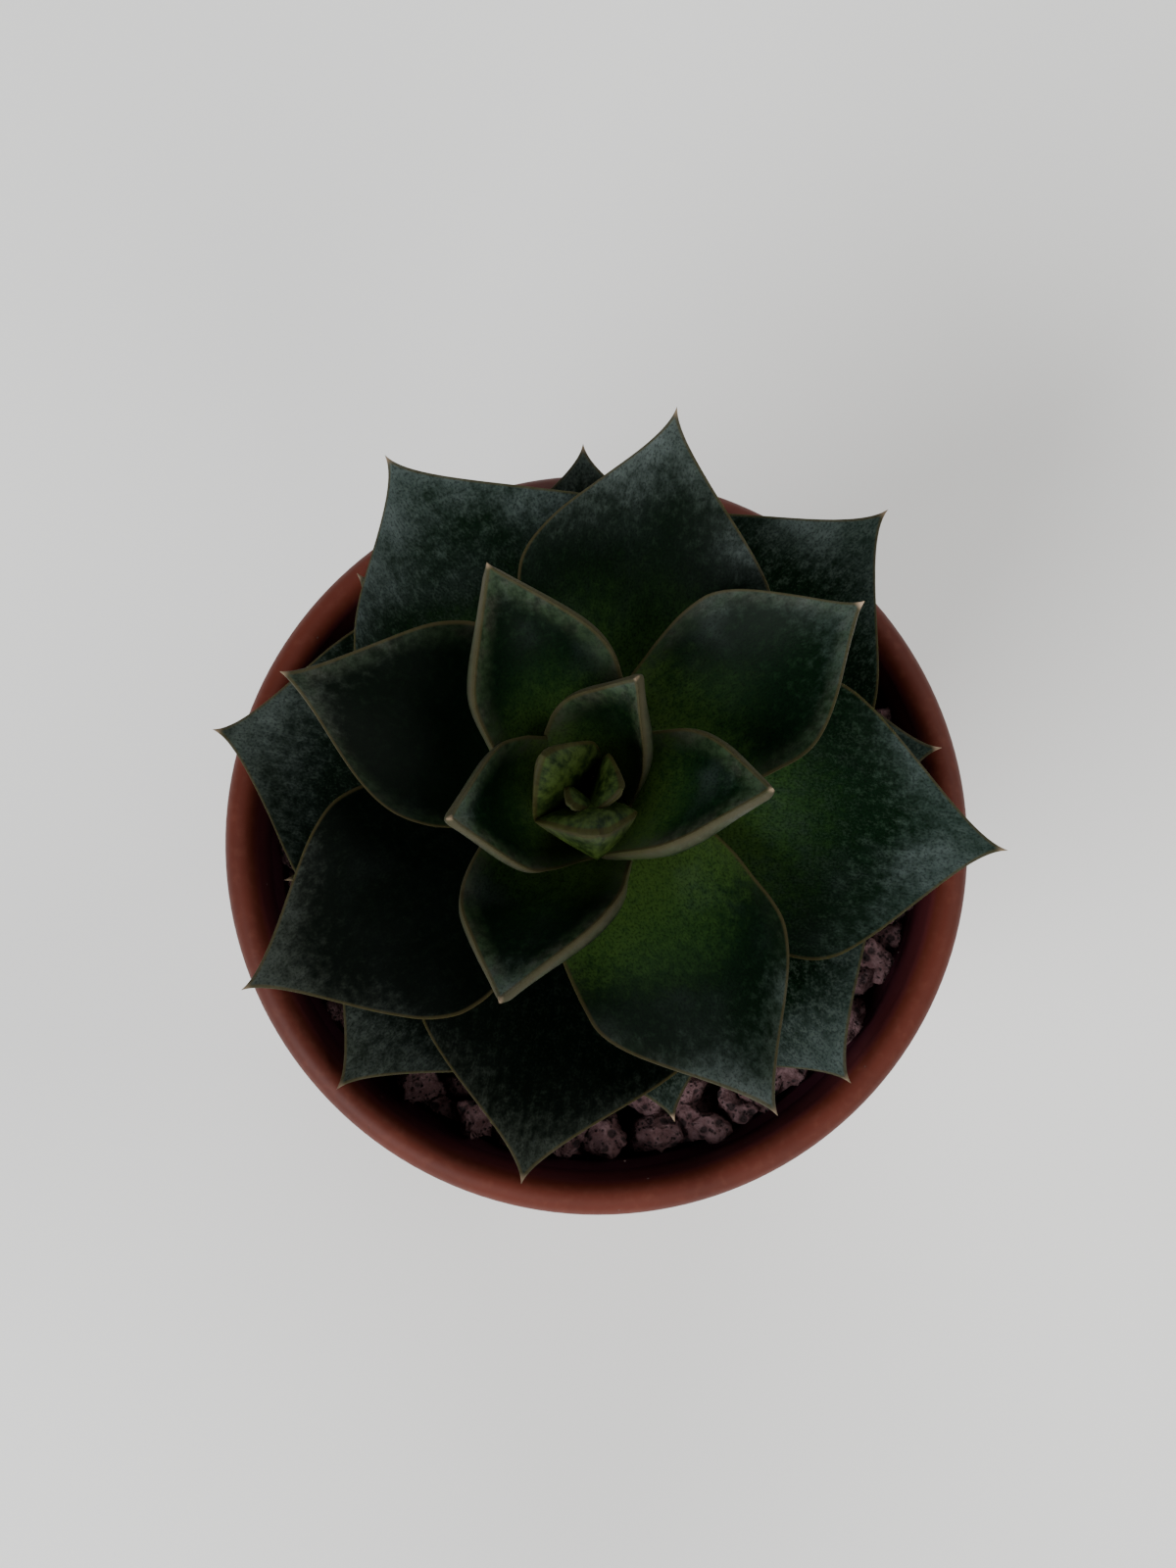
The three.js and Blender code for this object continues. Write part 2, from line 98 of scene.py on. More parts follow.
SKIN_SHORTFALL = 0.02  # keeps each tip just inside its solid's
GREENEST_AND_LIT = 355  # the leaves at this azimuth stay the greenest and most lit; the further a leaf stands from it, the darker it is painted, as shade

# The leaves, youngest first. turn is the departure from the spiral in degrees, reach the distance
# of the tip from the stem's axis, tip its height, and sway the tip's sideways drift. skew is how
# much wider the blade is on the side of the next larger azimuth, and roll lifts that side. bulge is
# how far the back stands out past the margins. The green value says how green a leaf is, and so how
# little painted shade it gets, where the rule by azimuth doesn't hold; cream how pale its tip is, and
# the powder value how much more wax, and painted highlight with it, it has than others.
LEAVES = [
    dict(turn=4, reach=10.9, tip=101, width=11.8, sway=0, skew=0.14, roll=-18, bulge=0.65,
         widest=0.34),
    dict(turn=-8, reach=14.8, tip=101, width=14.6, sway=0.8, skew=0, bulge=0.5, green_and_lit=0.8),
    dict(turn=23, reach=17.8, tip=102, width=13.6, sway=-1, skew=-0.04, roll=-20, bulge=0.9),
    dict(turn=0, reach=24.6, tip=101, width=16.2, sway=1, skew=-0.03, roll=4, bulge=0.8, green_and_lit=0.6),
    dict(turn=-6, reach=24.2, tip=101, width=16.7, sway=1, skew=0.03, roll=24, bulge=0.8, green_and_lit=0.6),
    dict(turn=10, reach=34.4, tip=97, width=20.6, sway=-1.6, skew=-0.03, roll=-10, bulge=0.35,
         widest=0.6, root_share=0.5, cream=0.9),
    dict(turn=-6, reach=34.4, tip=96, width=22.6, sway=1.5, skew=-0.14, bulge=0.3, green_and_lit=0.2),
    dict(turn=1, reach=38.9, tip=94, width=23.5, sway=-1.2, skew=-0.03, bulge=0.4, root_share=0.8,
         green_and_lit=0.65),
    dict(turn=-1.5, reach=43.2, tip=91, width=28.6, sway=1.6, skew=-0.06, powder_and_highlight=0.18),
    dict(turn=-5, reach=42, tip=91, width=27, sway=1.2, skew=0.02),
    dict(turn=7, reach=45.6, tip=87, width=31.6, sway=-3.4, skew=0.03),
    dict(turn=-9, reach=44.1, tip=86, width=36.8, sway=2.4, skew=-0.17, green_and_lit=0.9, powder_and_highlight=0.22),
    dict(turn=-1, reach=41.9, tip=85, width=32, sway=-1.5, skew=0.05, green_and_lit=0.1),
    dict(turn=7, reach=47.6, tip=82, width=34.7, sway=-1.9, skew=0.04, green_and_lit=0.9),
    dict(turn=-8, reach=42.3, tip=81, width=37, sway=0.5, skew=0, green_and_lit=0.4),
    dict(turn=2, reach=42.4, tip=79, width=34.2, sway=-1.2, skew=0.23),
    dict(turn=1, reach=41.6, tip=79, width=32, sway=0, skew=-0.05),
    dict(turn=2, reach=41.8, tip=78, width=28, sway=0.5, skew=0),
    dict(turn=10, reach=41, tip=77, width=28, sway=-2.2, skew=0.1, cream=0.9),
    dict(turn=-5, reach=37.4, tip=77, width=26, sway=0, skew=0),
    dict(turn=10, reach=36.6, tip=73, width=25.2, sway=0, skew=0.05, cream=0.9),
    dict(turn=0, reach=33, tip=73, width=24, sway=0, skew=0),
    dict(turn=4, reach=35.1, tip=73, width=23, sway=0, skew=0),
]

# The bud's four small upright leaves, oldest first. swell is how much the back stands out half way
# up, over a keel that thins from root to tip, and fill how much the face does.
BUD_FOOT = 84.6
BUD_CURL = -14
BUD_ROOT_SHARE = 0.6
BUD_WIDEST = 0.6
BUD_TAPER = 1.2
BUD_ROOT_CUP = 0.5
BUD_THINNING = 0.25
BUD_KEEL_EDGE = 1
BUD_AGE = -0.1  # younger than the youngest leaf, which is 0
BUD_LEAVES = [
    dict(azimuth=275, root=2.4, reach=5.5, tip=101.5, width=10.8, cup=0.2, thickness=2, swell=3,
         fill=2, skew=-0.17),
    dict(azimuth=156, root=1.7, reach=5.6, tip=101, width=10.4, cup=0.3, thickness=1.6, swell=0.8,
         fill=2, skew=0.1, roll=-14),
    dict(azimuth=340, root=0.6, reach=2.8, tip=100.5, width=7.4, cup=0.4, thickness=1, swell=0.8,
         fill=1.1, skew=0.04),
    dict(azimuth=228, root=1.6, reach=3.1, tip=99.6, width=4.6, cup=0.4, thickness=1, swell=0.8,
         fill=1, skew=0),
]


# ---- Node trees written as arithmetic ----


class Term:
    """A number that a node tree works out, so that a formula reads as plain arithmetic."""

    def __init__(self, tree, socket):
        self.tree = tree
        self.socket = socket

    def worked(self, operation, *values):
        """What a Math node makes of some values."""
        node = self.tree.nodes.new("ShaderNodeMath")
        node.operation = operation
        for socket, value in zip(node.inputs, values):
            feed(self.tree, socket, value)
        return Term(self.tree, node.outputs[0])

    def __add__(self, other):
        return self.worked("ADD", self, other)

    def __radd__(self, other):
        return self.worked("ADD", other, self)

    def __sub__(self, other):
        return self.worked("SUBTRACT", self, other)

    def __rsub__(self, other):
        return self.worked("SUBTRACT", other, self)

    def __mul__(self, other):
        return self.worked("MULTIPLY", self, other)

    def __rmul__(self, other):
        return self.worked("MULTIPLY", other, self)

    def __truediv__(self, other):
        return self.worked("DIVIDE", self, other)

    def __pow__(self, other):
        return self.worked("POWER", self, other)

    def __gt__(self, other):
        return self.worked("GREATER_THAN", self, other)

    def least(self, other):
        return self.worked("MINIMUM", self, other)

    def most(self, other):
        return self.worked("MAXIMUM", self, other)

    def size(self):
        return self.worked("ABSOLUTE", self)

    def sin(self):
        return self.worked("SINE", self)

    def cos(self):
        return self.worked("COSINE", self)

    def step(self, low, high):
        """0 below low, 1 above high and smooth between, or the reverse where low is above high."""
        node = self.tree.nodes.new("ShaderNodeMapRange")
        node.interpolation_type = "SMOOTHSTEP"
        low, high, ends = (low, high, (0, 1)) if low < high else (high, low, (1, 0))
        names = ("Value", "From Min", "From Max", "To Min", "To Max")
        for name, value in zip(names, (self, low, high, *ends)):
            feed(self.tree, node.inputs[name], value)
        return Term(self.tree, node.outputs["Result"])

    def toward(self, start, end):
        """start where this is 0, end where it is 1."""
        return start + self * (end - start)


def feed(tree, socket, value):
    """Gives a socket a Term, another socket or a plain value."""
    if isinstance(value, Term):
        value = value.socket
    if isinstance(value, bpy.types.NodeSocket):
        tree.links.new(value, socket)
    else:
        socket.default_value = value


def placed(tree, kind, output=0, settings=(), **inputs):
    """Adds a node, sets its options and inputs by name, and returns the chosen output."""
    node = tree.nodes.new(kind)
    for name, value in dict(settings).items():
        setattr(node, name, value)
    for name, value in inputs.items():
        feed(tree, node.inputs[name.replace("_", " ")], value)
    return node.outputs[output]


def mixed(a, b, share):
    """The plain number that share of the way from a to b gives."""
    return a + (b - a) * share


def smooth_share(value, low, high):
    """0 at low, 1 at high and smooth between, as a plain number."""
    t = min(1, max(0, (value - low) / (high - low)))
    return t * t * (3 - 2 * t)


def tree_with_inputs(name, sizes):
    """An empty geometry tree with a float input for each size, and its Terms by name."""
    tree = bpy.data.node_groups.new(name, "GeometryNodeTree")
    tree.interface.new_socket("Geometry", in_out="INPUT", socket_type="NodeSocketGeometry")
    for size in sizes:
        tree.interface.new_socket(size, in_out="INPUT", socket_type="NodeSocketFloat")
    tree.interface.new_socket("Geometry", in_out="OUTPUT", socket_type="NodeSocketGeometry")
    entry = tree.nodes.new("NodeGroupInput")
    return tree, {size: Term(tree, entry.outputs[size]) for size in sizes}


def finish_tree(tree, geometry, material):
    """Ends a geometry tree in Realize Instances and Set Material."""
    real = placed(tree, "GeometryNodeRealizeInstances", Geometry=geometry)
    painted = placed(tree, "GeometryNodeSetMaterial", Geometry=real, Material=material)
    leave = tree.nodes.new("NodeGroupOutput")
    tree.links.new(painted, leave.inputs[0])


def stored(tree, geometry, name, value, domain="POINT", kind="FLOAT"):
    """Keeps a value on the mesh under a name, for its material to read."""
    node = tree.nodes.new("GeometryNodeStoreNamedAttribute")
    node.data_type, node.domain = kind, domain
    feed(tree, node.inputs["Geometry"], geometry)
    node.inputs["Name"].default_value = name
    feed(tree, node.inputs["Value"], value)
    return node.outputs[0]


def grown(name, tree, sizes):
    """A plain mesh object from a geometry tree with its inputs set."""
    seed = bpy.data.objects.new(name + "_seed", bpy.data.meshes.new(name + "_seed"))
    bpy.context.collection.objects.link(seed)
    modifier = seed.modifiers.new("grow", "NODES")
    modifier.node_group = tree
    for item in tree.interface.items_tree:
        if item.in_out == "INPUT" and item.name in sizes:
            modifier[item.identifier] = float(sizes[item.name])
    made = baked(seed, name)
    for polygon in made.data.polygons:
        polygon.use_smooth = True
    return made


def baked(source, name):
    """The evaluated mesh of an object as a new plain object. The source is removed."""
    evaluated = source.evaluated_get(bpy.context.evaluated_depsgraph_get())
    mesh = bpy.data.meshes.new_from_object(evaluated)
    mesh.name = name
    bpy.data.objects.remove(source)
    made = bpy.data.objects.new(name, mesh)
    bpy.context.collection.objects.link(made)
    return made


# ---- Materials ----


def linear(code):
    """A colour such as "#7d4238" as linear red, green, blue and alpha."""
    channels = [int(code[i : i + 2], 16) / 255 for i in (1, 3, 5)]
    return (*[c / 12.92 if c <= 0.04045 else ((c + 0.055) / 1.055) ** 2.4 for c in channels], 1)


class Finish:
    """A material in the making: a Principled shader and short ways to patterns for its sockets."""

    def __init__(self, name, roughness):
        self.material = bpy.data.materials.new(name)
        self.material.use_nodes = True
        self.tree = self.material.node_tree
        self.shader = self.tree.nodes["Principled BSDF"]
        self.shader.inputs["Roughness"].default_value = roughness
        self.spot = placed(self.tree, "ShaderNodeTexCoord", "Object")

    def set(self, socket, value):
        """Gives one of the shader's sockets a pattern, or a value that is the same all over."""
        feed(self.tree, self.shader.inputs[socket], value)

    def attribute(self, name):
        """A number stored on the mesh."""
        return Term(self.tree, placed(self.tree, "ShaderNodeAttribute", "Fac", {"attribute_name": name}))

    def place(self, name):
        """A vector attribute as a texture place."""
        return placed(self.tree, "ShaderNodeAttribute", "Vector", {"attribute_name": name})

    def stretched(self, place, across, along, depth=1):
        """A texture place scaled by an amount of its own each way."""
        return placed(
            self.tree,
            "ShaderNodeMapping",
            settings={"vector_type": "POINT"},
            Vector=place,
            Scale=(across, along, depth),
        )

    def noise(self, per_metre, detail=2, place=None, rough=0.5):
        """Soft uneven patches between 0 and 1."""
        place = place or self.spot
        inputs = {"Vector": place, "Scale": per_metre, "Detail": detail, "Roughness": rough}
        return Term(self.tree, placed(self.tree, "ShaderNodeTexNoise", "Fac", **inputs))

    def cells(self, per_metre):
        """Distance from the nearest of scattered points, per cell size."""
        inputs = {"Vector": self.spot, "Scale": per_metre}
        return Term(self.tree, placed(self.tree, "ShaderNodeTexVoronoi", "Distance", **inputs))

    def cell_tone(self, per_metre):
        """A random number for each cell."""
        inputs = {"Vector": self.spot, "Scale": per_metre}
        colour = placed(self.tree, "ShaderNodeTexVoronoi", "Color", **inputs)
        return Term(self.tree, placed(self.tree, "ShaderNodeSeparateColor", "Red", Color=colour))

    def coordinate(self, axis):
        """The piece's own X, Y or Z in metres."""
        return Term(self.tree, placed(self.tree, "ShaderNodeSeparateXYZ", axis, Vector=self.spot))

    def blend(self, share, under, over):
        """over laid on under by share. Each is a colour code or a colour already blended."""
        node = self.tree.nodes.new("ShaderNodeMix")
        node.data_type = "RGBA"
        feed(self.tree, node.inputs[0], share)
        feed(self.tree, node.inputs[6], linear(under) if isinstance(under, str) else under)
        feed(self.tree, node.inputs[7], linear(over) if isinstance(over, str) else over)
        return node.outputs[2]

    def bump(self, height, millimetres, strength=1.0):
        """Fine relief: height is 0 to 1, and millimetres how deep that is."""
        inputs = {"Height": height, "Distance": millimetres * MM, "Strength": strength}
        self.set("Normal", placed(self.tree, "ShaderNodeBump", **inputs))


def waxy_leaf():
    """Leaf skin under a wax bloom: yellow-green at the root, nearly black in the middle, grey outside.

    Young leaves are smooth, with a pale band along the margin. Old ones are speckled all over. The
    nearly black middle is dark skin with painted shade, the grey outside is wax with a painted
    reflection of the room's light, and leaves on the side away from the light are painted darker all
    over, as shade. The blade's own attributes say where on it a spot lies: along it, across it and, in
    millimetres, how far from the margin.
    """
    f = Finish("waxy_leaf", 0.5)
    along, across, under = f.attribute("along"), f.attribute("across"), f.attribute("under")
    age, margin, green_and_lit = f.attribute("age"), f.attribute("margin"), f.attribute("green_and_lit")
    powder_and_highlight, blade = f.attribute("powder_and_highlight"), f.place("blade")
    cloud = f.noise(90, 3, blade)
    wisps = f.noise(260, 4, f.stretched(blade, 1.7, 1), 0.6)
    mottle = f.noise(1.0, 3, f.stretched(blade, 1100, 750, 300), 0.65)
    brushed = f.noise(1.0, 2, f.stretched(blade, 1300, 420, 300), 0.6)
    grain = f.noise(1.0, 3, f.stretched(blade, 4200, 2800, 400), 0.6)
    youth = age.step(0.4, 0.1)
    bud = age.step(0.02, BUD_AGE)

    # Green heart, dark middle and greyer outer part, with ragged edges between them. The middle's
    # near-black is painted shade on dark skin, and the outer grey is wax with a painted reflection.
    uneven = (cloud - 0.5) * 0.35 + (mottle - 0.5) * 0.5
    reach = along + across * across * 0.12 - youth * 0.1 + green_and_lit.toward(-0.07, 0) + uneven
    outer = reach.step(0.62, 1.0)
    heart = (along + across * across * 0.2 + uneven * 0.6).step(0.62, 0.3) * youth.toward(1, 0.6)
    root = (along + uneven * 0.5).step(0.46, 0.12)
    # Painted shade: the skin is nearly black, and leaves far from the lit azimuth are painted darker
    # still, with less of their heart and root showing.
    skin = f.blend(green_and_lit, "#010502", "#051508")
    skin = f.blend(heart * green_and_lit.step(0.2, 0.8), skin, "#26401c")
    skin = f.blend(root * green_and_lit.step(0.1, 0.9), skin, "#354a1c")
    mottled = mottle.step(0.45, 0.75) * green_and_lit.toward(0.25, 0.5)
    skin = f.blend(mottled, skin, f.blend(green_and_lit, "#0a140b", "#162e17"))
    # Painted reflection: the outer part is painted grey for its wax and for the room's light reflected in
    # it.
    skin = f.blend(outer, skin, f.blend(green_and_lit, "#2a2e27", "#27332e"))

    # Wax: streaks along the blade, soft patches that carry painted highlights, and a fine dark and pale
    # grain.
    streaks = (brushed + (wisps - 0.5) * 0.7).step(0.35, 0.8) * outer * age.toward(0.2, 0.4)
    skin = f.blend(streaks, skin, f.blend(green_and_lit, "#454a43", "#444f4b"))
    # Painted highlight: pale wax patches that also stand for soft reflections of the room's light, more
    # where a leaf is given extra wax.
    patches = cloud + (brushed - 0.5) * 0.06 + (wisps - 0.5) * 0.12 + along * 0.18
    patches = patches + powder_and_highlight * along.step(0.45, 0.85)
    bloom_and_highlight = patches.step(0.57, 0.95) * outer.toward(0.25, 1) * green_and_lit.toward(0.22, 1)
    skin = f.blend(bloom_and_highlight * age.step(0.25, 0.45).toward(0.8, 0.45), skin, "#656f6e")
    skin = f.blend(grain.step(0.54, 0.34) * 0.55, skin, "#020603")
    speckled = (grain + (brushed - 0.5) * 0.4 + (mottle - 0.5) * 0.5).step(0.5, 0.68)
    skin = f.blend(speckled * age.step(0.25, 0.85) * green_and_lit.toward(0.08, 0.35), skin, "#464f46")

    # The young leaves' pale band, the bud's fresh green, the margin's line, the back and the tip.
    band = (margin + (wisps - 0.5) * 2.0 - along * 0.9).step(2.6, -0.4) * youth
    pale = f.blend(wisps.step(0.4, 0.65), "#36452f", "#454539")
    skin = f.blend(band * mottle.step(0.3, 0.65).toward(0.2, 0.6), skin, pale)
    fresh = f.blend((mottle * 0.6 + wisps * 0.4).step(0.38, 0.62), "#0e1906", "#2f3d15")
    skin = f.blend(bud * 0.85, skin, fresh)
    skin = f.blend(margin.step(0.5, 0.2) * 0.7, skin, f.blend(bud, "#3a3420", "#2a2512"))
    skin = f.blend(under * margin.step(2.0, 0.2) * bud.toward(0.6, 0.25), skin, "#444234")
    tip = along.step(0.965, 0.99) * f.attribute("cream")
    f.set("Base Color", f.blend(tip, skin, "#a8917a"))
    f.set("Roughness", (bloom_and_highlight * 0.5 + grain * 0.3).toward(0.4, 0.58))
    f.set("Specular IOR Level", 0.04)
    f.set("Subsurface Weight", 0.03)
    f.set("Subsurface Radius", (1.0, 1.4, 0.5))
    f.set("Subsurface Scale", 0.7 * MM)
    f.bump(grain * 0.5 + wisps * 0.5, 0.1, 0.5)
    return f.material


def pot_plastic():
    """Moulded terracotta-coloured plastic, with dust and specks. Inside, it turns darker and purpler from
    the rim down to the rock: a soil stain with painted shade on it.
    """
    f = Finish("terracotta_plastic", 0.5)
    height = f.coordinate("Z")
    x, y = f.coordinate("X"), f.coordinate("Y")
    from_axis = (x * x + y * y) ** 0.5
    cloud = f.noise(60, 4)
    fine = f.noise(900, 3)
    body = height * BODY_SLOPE + BODY_ROOT * MM
    ledge = height + (COLLAR_FOOT_RADIUS - COLLAR_FOOT) * MM
    collar = height * COLLAR_SLOPE + COLLAR_ROOT * MM
    past_inner_face = from_axis - body.most(ledge).least(collar)
    inside = past_inner_face.step(0.7 * MM, 0.1 * MM) * height.step(55 * MM, 56 * MM)
    skin = f.blend(cloud.step(0.3, 0.7), "#481f16", "#55251a")
    skin = f.blend(fine.step(0.45, 0.8) * 0.22, skin, "#6b3f31")
    # Painted shade with a soil stain: inside, the wall darkens and turns purple from the rim down towards
    # the rock.
    depth = (height + (cloud - 0.5) * 3 * MM).step(73.5 * MM, 65.5 * MM)
    skin = f.blend(inside * 0.9, skin, f.blend(depth, "#552428", "#321622"))
    speck, speck_tone = f.cells(900), f.cell_tone(900)
    skin = f.blend(speck_tone.step(0.9, 0.92) * speck.step(0.22, 0.12) * 0.5, skin, "#3a1a12")
    dust = speck_tone.step(0.93, 0.94) * speck.step(0.16, 0.08)
    skin = f.blend(dust * inside.toward(0.1, 0.9), skin, "#b9a9a2")
    f.set("Base Color", skin)
    f.set("Roughness", (cloud * 0.5 + fine * 0.5).toward(0.45, 0.65))
    f.set("Specular IOR Level", 0.15)
    f.bump(fine * 0.6 + f.noise(250, 2) * 0.6, 0.06, 0.6)
    return f.material


def lava_stone():
    """Crushed lava: dull red-brown, porous, each stone a little different, with pale dust on top, and with
    its pores and hollows painted near-black as shade.
    """
    f = Finish("red_lava", 0.95)
    cloud = f.noise(700, 4, rough=0.65)
    pores = f.cells(1500)
    caves = f.cells(620)
    facing = placed(f.tree, "ShaderNodeNewGeometry", "Normal")
    up = Term(f.tree, placed(f.tree, "ShaderNodeSeparateXYZ", "Z", Vector=facing))
    skin = f.blend(f.attribute("tone"), "#442a2b", "#614344")
    skin = f.blend(cloud.step(0.4, 0.7) * 0.6, skin, "#765759")
    skin = f.blend(up.step(0.2, 1.0) * cloud.step(0.35, 0.65) * 0.3, skin, "#8d7476")
    # Painted shade: pores and hollows darkened nearly to black.
    skin = f.blend(pores.step(0.34, 0.14) * 0.8, skin, "#1c1012")
    skin = f.blend((caves + (cloud - 0.5) * 0.4).step(0.36, 0.2) * 0.8, skin, "#150b0d")
    f.set("Base Color", skin)
    relief = pores.step(0.05, 0.4) * 0.6 + caves.step(0.1, 0.45) + cloud * 0.8 + f.noise(3500, 3) * 0.3
    f.bump(relief, 0.5, 1.0)
    return f.material


def dark_soil():
    """Crumbly brown soil with a few paler grains."""
    f = Finish("potting_soil", 1.0)
    crumbs = f.cells(900)
    cloud = f.noise(400, 5, rough=0.7)
    skin = f.blend(cloud.step(0.35, 0.7), "#1d1512", "#382a22")
    skin = f.blend(f.cell_tone(900).step(0.9, 0.92) * 0.6, skin, "#6a5848")
    f.set("Base Color", skin)
    f.bump(crumbs + cloud, 0.7)
    return f.material


def corky_stem():
    """Dry brown bark in fine rings."""
    f = Finish("corky_stem", 0.85)
    rings = f.noise(1.0, 4, f.stretched(f.spot, 220, 220, 900))
    f.set("Base Color", f.blend(rings.step(0.3, 0.7), "#6d5c43", "#94836a"))
    f.bump(rings, 0.5)
    return f.material


def pale_floor():
    """Plain pale studio floor."""
    f = Finish("pale_floor", 0.6)
    f.set("Base Color", f.blend(f.noise(6, 3).step(0.3, 0.7) * 0.5, "#f4f4f1", "#f0f0ed"))
    return f.material


# ---- Leaves and bud ----

STATIONS = 72  # steps from root to tip
RING = 56  # steps round the section
TIP_CROWDING = 1.3  # above 1 the stations lie closer together towards the tip
TIP_FULLNESS = 0.6  # keeps the blade this wide just before its point
RIPPLE = 0.05  # unevenness of the margin per half width
FACE_RIPPLE = 0.5  # unevenness of the face near the root
BLADE_SIZES = [
    "Azimuth", "Root", "Foot", "Reach", "Tip", "Curl", "Sway", "Width", "Root share", "Widest", "Taper",
    "Skew", "Roll", "Root cup", "Cup", "Thickness", "Thinning", "Swell", "Bulge", "Fill", "Keel edge",
    "Green", "Cream", "Powder and highlight", "Age", "Seed",
]  # fmt: skip


def blade_tree(material):
    """The tree that grows one leaf blade from its sizes, in millimetres and degrees.

    A grid is wrapped into the blade's skin: one side of the grid runs from root to tip, the other
    round the section, from one margin over the cupped face to the other margin and back round the keel.
    """
    tree, size = tree_with_inputs("leaf_blade", BLADE_SIZES)
    grid = placed(
        tree,
        "GeometryNodeMeshGrid",
        "Mesh",
        Size_X=1.0,
        Size_Y=1.0,
        Vertices_X=RING + 1,
        Vertices_Y=STATIONS + 1,
    )
    position = placed(tree, "GeometryNodeInputPosition")
    x, y = (Term(tree, placed(tree, "ShaderNodeSeparateXYZ", axis, Vector=position)) for axis in "XY")
    s = 1 - (0.5 - y) ** TIP_CROWDING  # 0 at the root, 1 at the tip
    around = (x + 0.5) * (2 * math.pi)
    u, v = around.cos(), around.sin()  # across the blade, and up from face to back where negative
    early = (s * 2).least(1)

    # The midrib is an arc from root to tip.
    turn = size["Curl"] * (math.pi / 180)
    run, rise = size["Reach"] - size["Root"], size["Tip"] - size["Foot"]
    chord = (run * run + rise * rise) ** 0.5
    start = rise.worked("ARCTAN2", rise, run) - turn / 2
    bend = chord / 2 / (turn / 2).sin()
    angle = start + turn * s
    along_margin = placed(tree, "ShaderNodeCombineXYZ", X=s * 5 + size["Seed"] * 7, Y=u * 0.8)
    flat_noise = {"noise_dimensions": "2D"}
    ripple = Term(
        tree,
        placed(tree, "ShaderNodeTexNoise", "Fac", flat_noise, Vector=along_margin, Scale=1.0, Detail=1.0),
    )

    # Half width: a round shoulder, then a hollow taper to a point.
    to_widest = ((s / size["Widest"]).least(1) * (math.pi / 2)).sin().most(0)
    to_shoulder = size["Root share"] + (1 - size["Root share"]) * to_widest**1.3
    q = ((s - size["Widest"]) / (1 - size["Widest"])).most(0).least(1)
    to_tip = (1 - q) ** size["Taper"] * (1 + size["Taper"] * q)
    half = size["Width"] / 2 * to_shoulder * to_tip * (1 + (ripple - 0.5) * RIPPLE)
    half = half + s.step(0.7, 0.95) * (1 - s) ** 0.5 * TIP_FULLNESS

    # Section: a cupped face, and a keel behind it that closes at root and tip.
    lift = half * early.toward(size["Root cup"], size["Cup"])
    closing = (s * 30).least(1) * ((1 - s) * 14).least(1) ** 0.6
    below = 0 - v > 0
    plump = (s * math.pi).sin()
    keel = size["Thickness"] * s.toward(1, size["Thinning"]) + size["Swell"] * plump
    edge = MARGIN_THICKNESS / 2 * (1 - v)
    drop = (edge + (keel - MARGIN_THICKNESS) * (1 - u.size() ** size["Keel edge"]) * below) * closing
    drop = drop + s.step(0.75, 1.0) * (MARGIN_THICKNESS / 3)
    level = u * half * (1 + size["Skew"] * u) * (1 + size["Bulge"] * closing * (1 - u * u) * below)
    fill = size["Fill"] * (1 - u * u) * plump.most(0) ** 0.5 * (v > 0)
    raised = lift * u * u + fill - drop + (ripple - 0.5) * FACE_RIPPLE * s.step(0.0, 0.3) * (1 - s)
    lean = size["Roll"] * (math.pi / 180) * early
    offset = raised * lean.cos() + level * lean.sin()

    radial = size["Root"] + bend * (angle.sin() - start.sin()) - angle.sin() * offset
    height = size["Foot"] - bend * (angle.cos() - start.cos()) + angle.cos() * offset
    sideways = level * lean.cos() - raised * lean.sin() + size["Sway"] * s * s
    azimuth = size["Azimuth"] * (math.pi / 180)
    east = PLANT_CENTRE[0] + radial * azimuth.cos() - sideways * azimuth.sin()
    north = PLANT_CENTRE[1] + radial * azimuth.sin() + sideways * azimuth.cos()

    marks = {
        "along": s,
        "across": u,
        "under": (0 - v).step(0.0, 0.4),
        "margin": (1 - u.size()) * half,
        "age": size["Age"],
        "green_and_lit": size["Green"],
        "cream": size["Cream"],
        "powder_and_highlight": size["Powder and highlight"],
    }
    marked = grid
    for name, value in marks.items():
        marked = stored(tree, marked, name, value)
    side = size["Seed"] + (0 - v).step(0.0, 0.1) * 0.5  # face and back read other parts of a pattern
    spread = placed(tree, "ShaderNodeCombineXYZ", X=u * half * MM, Y=chord * s * MM, Z=side)
    marked = stored(tree, marked, "blade", spread, kind="FLOAT_VECTOR")
    place = placed(tree, "ShaderNodeCombineXYZ", X=east * MM, Y=north * MM, Z=height * MM)
    shaped = placed(tree, "GeometryNodeSetPosition", Geometry=marked, Position=place)
    closed = placed(tree, "GeometryNodeMergeByDistance", Geometry=shaped, Distance=0.002 * MM)
    finish_tree(tree, closed, material)
    return tree


